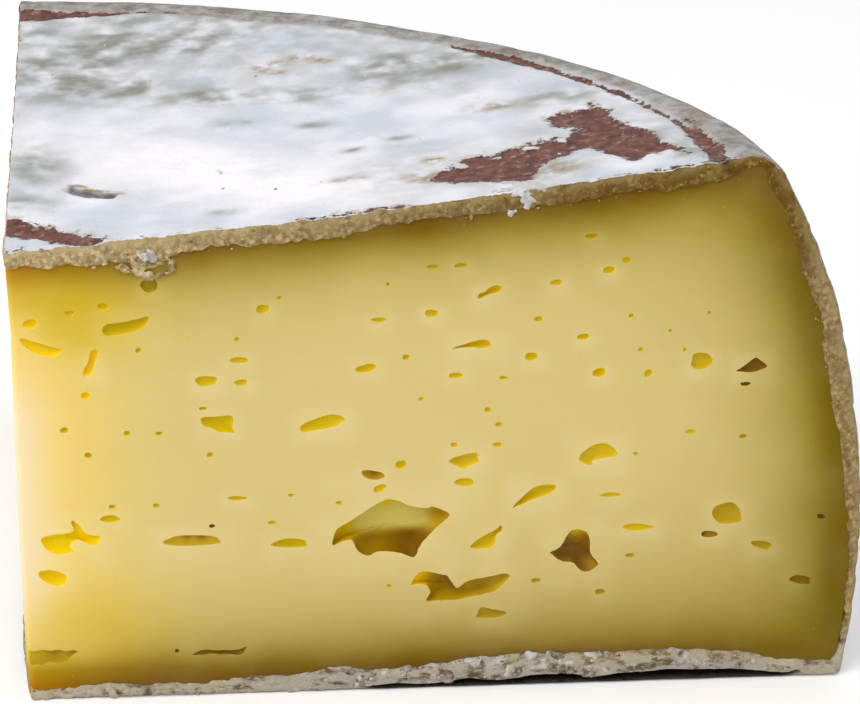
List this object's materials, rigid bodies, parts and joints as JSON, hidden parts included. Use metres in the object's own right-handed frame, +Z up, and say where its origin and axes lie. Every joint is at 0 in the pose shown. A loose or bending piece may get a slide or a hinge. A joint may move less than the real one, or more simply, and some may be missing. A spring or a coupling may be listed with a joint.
{
  "type": "quarter wheel of tomme cheese",
  "caption": "Quarter of a small round cheese with a sunken top and a bellied side; flat knife cuts show open eyes in the paste under a mottled grey bloomy rind.",
  "frame": {"origin": "middle of the box around the base, on the base plane", "axes": "+Z up along the wheel's axis; the front cut faces -Y and the side cut faces -X; the round side faces +X and +Y"},
  "size_m": [0.102, 0.1005, 0.0649],
  "materials": {
    "paste": "smooth, slightly waxy cut paste",
    "rind": "dry, powdery grey-white bloom over a red-brown rind"
  },
  "bodies": {
    "root": {"cheese_quarter": "paste"}
  },
  "joints": []
}
